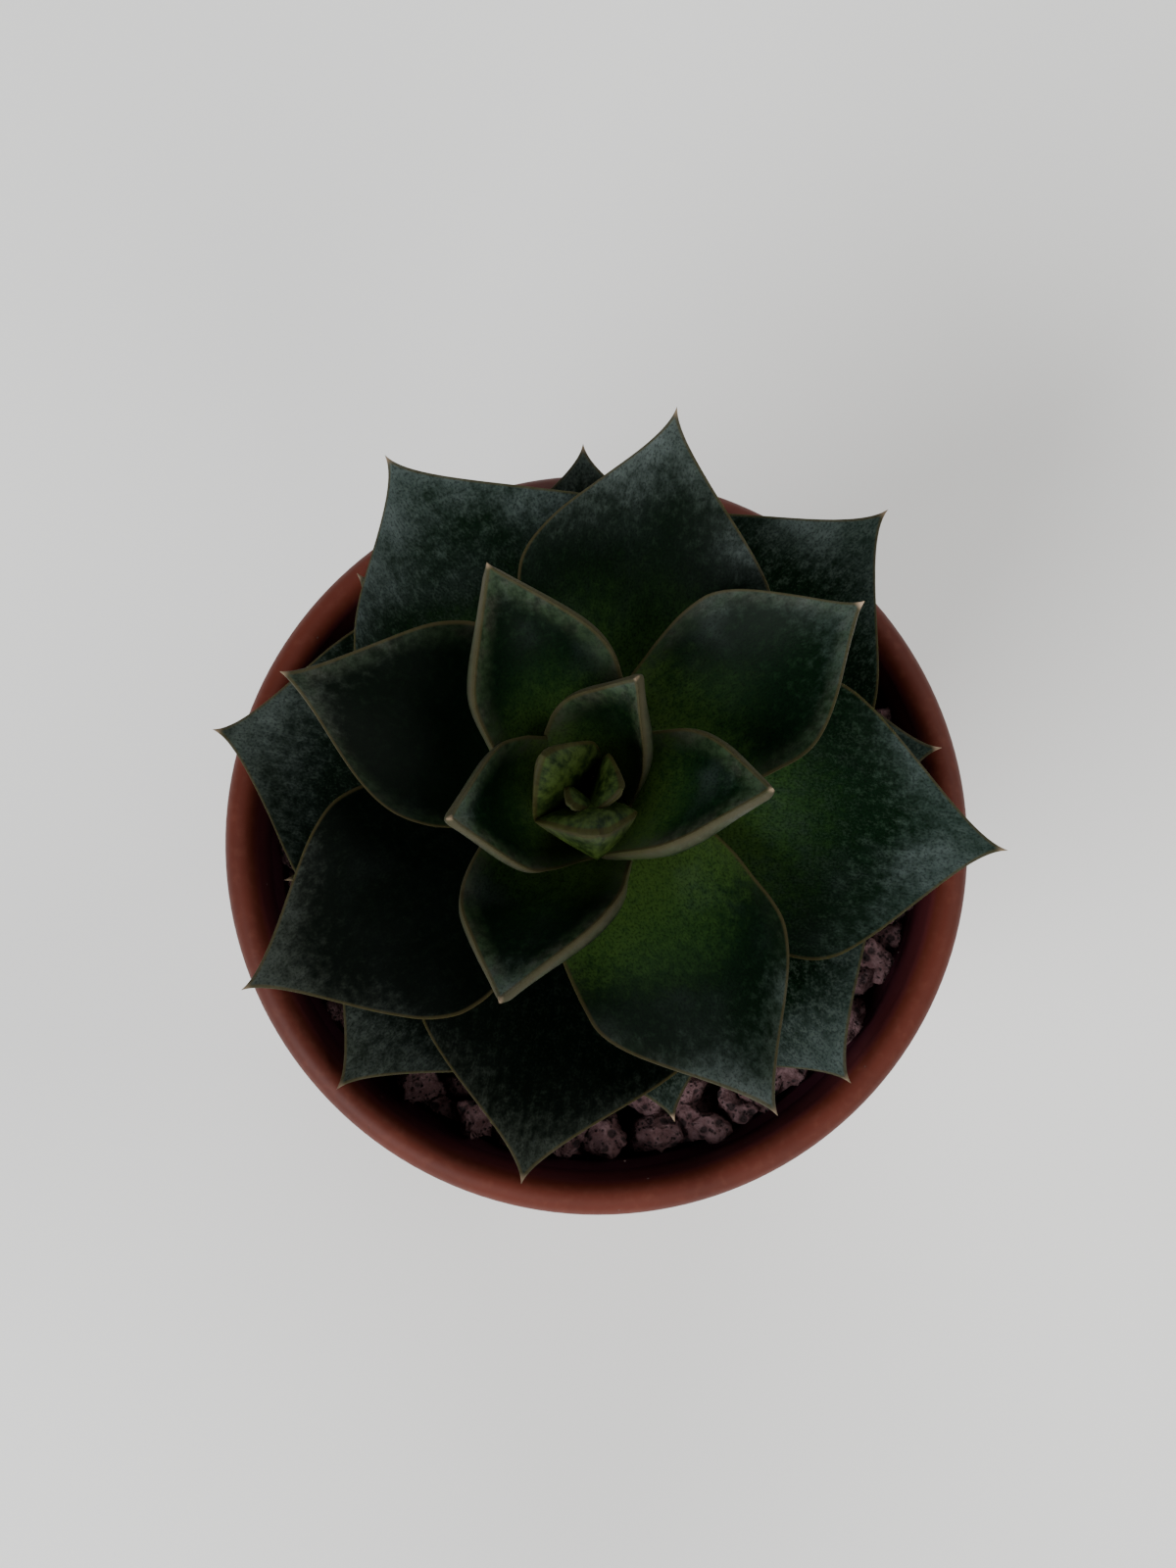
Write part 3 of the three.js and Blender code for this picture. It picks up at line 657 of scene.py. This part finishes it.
def spiral_leaf_sizes(n):
    """The blade's sizes for a leaf of the rosette, counted from the youngest."""
    leaf = LEAVES[n]
    youth = 1 - smooth_share(n, *CLASPING_LEAVES)
    azimuth = SPIRAL_START + n * DIVERGENCE + leaf["turn"]
    return {
        "Azimuth": azimuth,
        "Root": FIRST_ROOT[0] + n * ROOT_STEP[0],
        "Foot": FIRST_ROOT[1] + n * ROOT_STEP[1],
        "Reach": leaf["reach"] - SKIN_SHORTFALL,
        "Tip": leaf["tip"] - SKIN_SHORTFALL,
        "Curl": LEAF_CURL,
        "Sway": leaf["sway"],
        "Width": leaf["width"],
        "Root share": leaf.get("root_share", mixed(*ROOT_SHARE, youth)),
        "Widest": leaf.get("widest", mixed(*WIDEST, youth)),
        "Taper": mixed(*TAPER, youth),
        "Skew": leaf["skew"],
        "Roll": leaf.get("roll", 0),
        "Root cup": mixed(*ROOT_CUP, youth),
        "Cup": mixed(*CUP, youth),
        "Thickness": LEAF_THICKNESS,
        "Thinning": LEAF_THINNING,
        "Swell": 0,
        "Bulge": leaf.get("bulge", 0),
        "Fill": 0,
        "Keel edge": KEEL_EDGE,
        "Green": leaf.get("green_and_lit", 0.5 + 0.5 * math.cos(math.radians(azimuth - GREENEST_AND_LIT))),
        "Cream": leaf.get("cream", USUAL_CREAM),
        "Powder and highlight": leaf.get("powder_and_highlight", 0),
        "Age": n / (len(LEAVES) - 1),
        "Seed": n * SEED_STEP,
    }


def bud_leaf_sizes(k):
    """The blade's sizes for a leaf of the bud."""
    leaf = BUD_LEAVES[k]
    return {
        "Azimuth": leaf["azimuth"],
        "Root": leaf["root"],
        "Foot": BUD_FOOT,
        "Reach": leaf["reach"],
        "Tip": leaf["tip"],
        "Curl": BUD_CURL,
        "Sway": 0,
        "Width": leaf["width"],
        "Root share": BUD_ROOT_SHARE,
        "Widest": BUD_WIDEST,
        "Taper": BUD_TAPER,
        "Skew": leaf["skew"],
        "Roll": leaf.get("roll", 0),
        "Root cup": BUD_ROOT_CUP,
        "Cup": leaf["cup"],
        "Thickness": leaf["thickness"],
        "Thinning": BUD_THINNING,
        "Swell": leaf["swell"],
        "Bulge": 0,
        "Fill": leaf["fill"],
        "Keel edge": BUD_KEEL_EDGE,
        "Green": 1,
        "Cream": 0,
        "Powder and highlight": 0,
        "Age": BUD_AGE,
        "Seed": BUD_SEED + k * SEED_STEP,
    }


def joined(name, parts):
    """Several mesh objects made one."""
    chosen = {"active_object": parts[0], "selected_editable_objects": parts, "object": parts[0]}
    with bpy.context.temp_override(**chosen):
        bpy.ops.object.join()
    parts[0].name = name
    parts[0].data.name = name
    return parts[0]


def outward(piece):
    """Turns a closed mesh's faces outward."""
    work = bmesh.new()
    work.from_mesh(piece.data)
    bmesh.ops.recalc_face_normals(work, faces=work.faces)
    work.to_mesh(piece.data)
    work.free()


def grow_plant():
    """The rosette's leaves, one piece each, and the bud as one piece."""
    blade = blade_tree(waxy_leaf())
    for n in range(len(LEAVES)):
        node = f"leaf_{n + 1:02d}"
        leaf = grown("skin_of_" + node, blade, spiral_leaf_sizes(n))
        outward(leaf)
        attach(leaf, "root")
        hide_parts(node)
    parts = [grown(f"bud_leaf_{k + 1}", blade, bud_leaf_sizes(k)) for k in range(len(BUD_LEAVES))]
    bud = joined("skin_of_bud", parts)
    outward(bud)
    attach(bud, "root")
    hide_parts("bud")


# ---- Lava rock ----

ROCK_LIMIT = 36.2  # the stones are worn flat against the wall here
COLLAR_ROOM = 1.3  # and this much further out above the ledge
BANK_SIDE = 5  # azimuth of the side where the rock lies highest
ANY_TURN = (-3, 3)  # radians
KNOCK = 0.9  # how far a stone's corners are pushed out of true
STONE_CREASE = 0.55  # above 0 the broken edges stay sharp under finer faces
LUMPS, GRIT, PIT_DEPTH = 1.4, 1.1, 0.45  # relief of a stone's skin, from coarse to fine
ROCK_SIZES = [
    "Inner edge", "Outer edge", "Level", "Heap", "Bank", "Spacing", "Small", "Large", "Fineness", "Seed",
]  # fmt: skip


def rock_tree(material):
    """A ring of angular porous stones, heaped towards the wall."""
    tree, size = tree_with_inputs("lava_rock", ROCK_SIZES)
    position = placed(tree, "GeometryNodeInputPosition")
    x, y, z = (Term(tree, placed(tree, "ShaderNodeSeparateXYZ", axis, Vector=position)) for axis in "XYZ")
    from_axis = (x * x + y * y) ** 0.5 / MM

    def chance(low, high, seed):
        """A random number for each stone or corner, the same in every run."""
        node = tree.nodes.new("FunctionNodeRandomValue")
        node.data_type = "FLOAT"
        feed(tree, node.inputs[2], low)
        feed(tree, node.inputs[3], high)
        feed(tree, node.inputs["Seed"], seed)
        return Term(tree, node.outputs[1])

    def whole(number):
        return placed(tree, "FunctionNodeFloatToInt", Float=number)

    def vector(**parts):
        return placed(tree, "ShaderNodeCombineXYZ", **parts)

    def moved(geometry, **shift):
        return placed(tree, "GeometryNodeSetPosition", Geometry=geometry, **shift)

    def rough(per_metre, detail):
        inputs = {"Vector": position, "Scale": float(per_metre), "Detail": detail}
        return Term(tree, placed(tree, "ShaderNodeTexNoise", "Fac", **inputs))

    # Places of the stones: evenly scattered in a ring, then raised.
    disc = placed(
        tree,
        "GeometryNodeMeshCircle",
        settings={"fill_type": "NGON"},
        Vertices=64,
        Radius=size["Outer edge"] * MM,
    )
    points = placed(
        tree,
        "GeometryNodeDistributePointsOnFaces",
        "Points",
        {"distribute_method": "POISSON"},
        Mesh=disc,
        Distance_Min=size["Spacing"] * MM,
        Density_Max=400000.0,
        Seed=whole(size["Seed"]),
    )
    within = size["Inner edge"] - from_axis > 0
    ringed = placed(tree, "GeometryNodeDeleteGeometry", Geometry=points, Selection=within)
    heap = (from_axis / ROCK_LIMIT) ** 2
    side = math.radians(BANK_SIDE)
    bank = ((x * math.cos(side) + y * math.sin(side)) / (ROCK_LIMIT * MM)).most(0) ** 4
    rise = size["Level"] + heap * size["Heap"] * chance(0.4, 1, 3) + bank * size["Bank"]
    raised = moved(ringed, Offset=vector(Z=rise * MM))

    # The stones: small blocks, tumbled, stretched and knocked out of true.
    block = placed(tree, "GeometryNodeMeshIcoSphere", "Mesh", Radius=MM, Subdivisions=1)
    girth = chance(size["Small"], size["Large"], 5)
    tumble = vector(X=chance(*ANY_TURN, 11), Y=chance(*ANY_TURN, 12), Z=chance(*ANY_TURN, 13))
    stones = placed(
        tree,
        "GeometryNodeInstanceOnPoints",
        Points=raised,
        Instance=block,
        Rotation=placed(tree, "FunctionNodeEulerToRotation", Euler=tumble),
        Scale=vector(X=girth * chance(1.0, 1.35, 7), Y=girth, Z=girth * chance(0.75, 1, 8)),
    )
    stones = stored(tree, stones, "tone", chance(0, 1, 17), domain="INSTANCE")
    loose = placed(tree, "GeometryNodeRealizeInstances", Geometry=stones)
    knocks = {axis: chance(-KNOCK, KNOCK, 20 + k) * MM for k, axis in enumerate("XYZ")}
    broken = moved(loose, Offset=vector(**knocks))

    # Their surface: finer faces, moved in and out into pits and pores.
    smoother = tree.nodes.new("GeometryNodeSubdivisionSurface")
    feed(tree, smoother.inputs["Mesh"], broken)
    feed(tree, smoother.inputs["Level"], whole(size["Fineness"]))
    smoother.inputs["Edge Crease"].default_value = STONE_CREASE
    pitted = placed(tree, "ShaderNodeTexVoronoi", "Distance", Vector=position, Scale=800.0)
    pits = Term(tree, pitted).step(0.35, 0.1)
    relief = (rough(380, 2.0) - 0.5) * LUMPS + (rough(1300, 3.0) - 0.5) * GRIT - pits * PIT_DEPTH
    outwards = placed(
        tree,
        "ShaderNodeVectorMath",
        settings={"operation": "SCALE"},
        Vector=placed(tree, "GeometryNodeInputNormal"),
        Scale=relief * MM,
    )
    worn = moved(smoother.outputs[0], Offset=outwards)
    limit = ROCK_LIMIT + (z / MM).step(COLLAR_FOOT - 0.6, COLLAR_FOOT + 0.8) * COLLAR_ROOM
    inward = (limit / from_axis).least(1)
    finish_tree(tree, moved(worn, Position=vector(X=x * inward, Y=y * inward, Z=z)), material)
    return tree


def scatter_rock():
    """The whole dressing as one piece: a coarse bed, the fine stones on it and those along the wall."""
    tree = rock_tree(lava_stone())
    bed = {
        "Inner edge": 0, "Outer edge": 34.8, "Level": 61, "Heap": 3, "Bank": 4.5, "Spacing": 3.9,
        "Small": 2.1, "Large": 2.9, "Fineness": 1, "Seed": 4,
    }  # fmt: skip
    top = {
        "Inner edge": 24, "Outer edge": 35, "Level": 62.4, "Heap": 3.8, "Bank": 4.5, "Spacing": 4.2,
        "Small": 2.7, "Large": 3.6, "Fineness": 3, "Seed": 9,
    }  # fmt: skip
    edge = {
        "Inner edge": 32.5, "Outer edge": 36, "Level": 62.6, "Heap": 3.2, "Bank": 4.5, "Spacing": 4.6,
        "Small": 2.1, "Large": 2.9, "Fineness": 2, "Seed": 14,
    }  # fmt: skip
    layers = [grown("rock_bed", tree, bed), grown("rock_top", tree, top), grown("rock_edge", tree, edge)]
    rock = joined("crushed_lava", layers)
    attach(rock, "root")
    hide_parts("lava_rock")


# ---- Pot ----

POT_SEGMENTS = 160
SOFT_EDGE = 0.25  # width of the rounding on the pot's corners
DRILL_LENGTH = 10
DRILL_MIDDLE = 2  # height of the drill's middle


def arc(centre, radii, start, end, steps):
    """Points of an elliptical arc in the (radius, height) plane."""
    angles = [math.radians(mixed(start, end, i / steps)) for i in range(steps + 1)]
    return [(centre[0] + radii[0] * math.cos(a), centre[1] + radii[1] * math.sin(a)) for a in angles]


def collar_radius(z):
    """The radius of the collar's inner face at a height."""
    return COLLAR_ROOT + COLLAR_SLOPE * z


def turned(name, profile, segments):
    """A solid of revolution from (radius, height) points that start and end on the axis."""
    vertices, faces = [(0, 0, profile[0][1] * MM)], []
    rings = profile[1:-1]
    for radius, height in rings:
        for k in range(segments):
            a = 2 * math.pi * k / segments
            vertices.append((radius * MM * math.cos(a), radius * MM * math.sin(a), height * MM))
    vertices.append((0, 0, profile[-1][1] * MM))
    for k in range(segments):
        after = (k + 1) % segments
        faces.append((0, 1 + after, 1 + k))
        for i in range(len(rings) - 1):
            a, b = 1 + i * segments, 1 + (i + 1) * segments
            faces.append((a + k, a + after, b + after, b + k))
        top = 1 + (len(rings) - 1) * segments
        faces.append((top + k, top + after, len(vertices) - 1))
    mesh = bpy.data.meshes.new(name)
    mesh.from_pydata(vertices, [], faces)
    piece = bpy.data.objects.new(name, mesh)
    bpy.context.collection.objects.link(piece)
    return piece


def pot_profile():
    """Half the pot's section: up the outside from the feet, round the rim and down the inside."""
    skirt_foot = POT_HEIGHT - RIM_DEPTH
    skirt_inner = RIM_RADIUS - WALL
    roll_top = POT_HEIGHT - ROLL_DEPTH
    roll_centre = RIM_RADIUS - ROLL_REACH
    base = BODY_FOOT_RADIUS + WALL
    foot_inner = base - RING_FOOT_WIDTH
    return [
        (0, 0),
        (CENTRE_FOOT_RADIUS, 0),
        (CENTRE_FOOT_RADIUS + FOOT_SLOPE, FOOT_HEIGHT),
        (foot_inner - FOOT_SLOPE, FOOT_HEIGHT),
        (foot_inner, 0),
        *arc((base - 1, 1), (1, 1), -90, 0, 4),
        (BODY_TOP_RADIUS + WALL, COLLAR_FOOT - LEDGE),
        (COLLAR_FOOT_RADIUS + WALL, COLLAR_FOOT),
        (collar_radius(roll_top - 1) + WALL, roll_top - 1),
        (skirt_inner, roll_top - 1),
        (skirt_inner, skirt_foot),
        (RIM_RADIUS - 0.2, skirt_foot),
        *arc((roll_centre, roll_top), (ROLL_REACH, ROLL_DEPTH), 0, 90, 12),
        *arc((roll_centre, roll_top), (roll_centre - RIM_INNER_RADIUS, ROLL_DEPTH), 100, 180, 10),
        (collar_radius(roll_top - 1.5), roll_top - 1.5),
        (COLLAR_FOOT_RADIUS, COLLAR_FOOT),
        (BODY_TOP_RADIUS, COLLAR_FOOT - LEDGE),
        (BODY_FOOT_RADIUS, FLOOR_TOP + FLOOR_EDGE),
        (BODY_FOOT_RADIUS - FLOOR_EDGE, FLOOR_TOP),
        (0, FLOOR_TOP),
    ]


def drain_drill():
    """Six upright rods through the floor, to cut the drain holes with."""
    rods = []
    for k in range(DRAIN_COUNT):
        a = 2 * math.pi * k / DRAIN_COUNT
        bpy.ops.mesh.primitive_cylinder_add(
            vertices=32,
            radius=DRAIN_RADIUS * MM,
            depth=DRILL_LENGTH * MM,
            location=(DRAIN_CIRCLE * MM * math.cos(a), DRAIN_CIRCLE * MM * math.sin(a), DRILL_MIDDLE * MM),
        )
        rods.append(bpy.context.active_object)
    return joined("drain_drill", rods)


def mould_pot():
    """The nursery pot: two ring feet, drain holes, a tapered wall, a collar and a rolled rim."""
    shell = turned("pot_shell", pot_profile(), POT_SEGMENTS)
    outward(shell)
    drill = drain_drill()
    cut = shell.modifiers.new("drains", "BOOLEAN")
    cut.object = drill
    cut.solver = "EXACT"
    soften = shell.modifiers.new("soft_edges", "BEVEL")
    soften.width = SOFT_EDGE * MM
    soften.segments = 2
    soften.angle_limit = math.radians(25)
    pot = baked(shell, "moulded_pot")
    bpy.data.objects.remove(drill)
    for polygon in pot.data.polygons:
        polygon.use_smooth = True
    pot.data.materials.clear()
    pot.data.materials.append(pot_plastic())
    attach(pot, "root")
    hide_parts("pot")


# ---- Camera, lights and floor ----

CAMERA_PLACE = (-8.83, -25.35, 310.72)
CAMERA_LENS = 48
SENSOR_WIDTH = 36
WORLD_DOWN = (-0.0324, 0.1322, 1)  # straight down, read in the camera's right, down and forward
LIGHT_SIZE = 0.9  # metres, as are the lights' places
LIT_POINT = (0, 0, 0.07)
SOFT_BOXES = {  # place, watts and tint
    "window": ((-0.75, -0.75, 0.75), 25, "#fbfcff"),
    "wall_right": ((1.0, 0.2, 0.75), 8, "#fffdfa"),
    "wall_back": ((0.0, 1.05, 0.8), 9, "#fbfcff"),
    "wall_front": ((0.5, -0.95, 0.7), 9, "#fffdfa"),
}
ROOM_TINT = "#f2f4f6"
ROOM_STRENGTH = 0.06
FLOOR_SIZE = 4
FLOOR_DROP = 0.2  # millimetres under the pot's feet


def set_camera():
    """The photograph's view: nearly straight down, tilted a little towards the lower edge."""
    up = -Vector(WORLD_DOWN).normalized()
    right = (Vector((1, 0, 0)) - up * up.x).normalized()
    ahead = up.cross(right)
    world = Matrix((right, ahead, up)).transposed()  # columns: world X, Y, Z in the camera's axes
    turn = Matrix((world[0], -world[1], -world[2])).transposed()
    camera = bpy.data.objects.new("camera", bpy.data.cameras.new("camera"))
    camera.data.lens = CAMERA_LENS
    camera.data.sensor_width = SENSOR_WIDTH
    camera.data.clip_start = 0.01
    camera.matrix_world = Matrix.Translation(Vector(CAMERA_PLACE) * MM) @ turn.to_4x4()
    bpy.context.collection.objects.link(camera)
    bpy.context.scene.camera = camera


def soft_light(name, place, power, tint):
    """A square soft box that faces the plant."""
    data = bpy.data.lights.new(name, "AREA")
    data.shape = "SQUARE"
    data.size = LIGHT_SIZE
    data.energy = power
    data.color = linear(tint)[:3]
    lamp = bpy.data.objects.new(name, data)
    lamp.location = place
    lamp.rotation_mode = "QUATERNION"
    lamp.rotation_quaternion = (Vector(LIT_POINT) - Vector(place)).to_track_quat("-Z", "Y")
    bpy.context.collection.objects.link(lamp)


def set_studio():
    """Soft boxes, a faint even light from all round and a pale floor."""
    for name, (place, power, tint) in SOFT_BOXES.items():
        soft_light(name, place, power, tint)
    world = bpy.data.worlds.new("room")
    world.use_nodes = True
    background = world.node_tree.nodes["Background"]
    background.inputs["Color"].default_value = linear(ROOM_TINT)
    background.inputs["Strength"].default_value = ROOM_STRENGTH
    bpy.context.scene.world = world
    bpy.ops.mesh.primitive_plane_add(size=FLOOR_SIZE, location=(0, 0, -FLOOR_DROP * MM))
    floor = bpy.context.active_object
    floor.name = "floor"
    floor.data.materials.append(pale_floor())


def dress_node(name, material):
    """Paints a solid that the scene shows as it is."""
    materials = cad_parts[name].data.materials
    materials.clear()
    materials.append(material)


set_camera()
set_studio()
mould_pot()
scatter_rock()
grow_plant()
dress_node("potting_soil", dark_soil())
dress_node("stem", corky_stem())
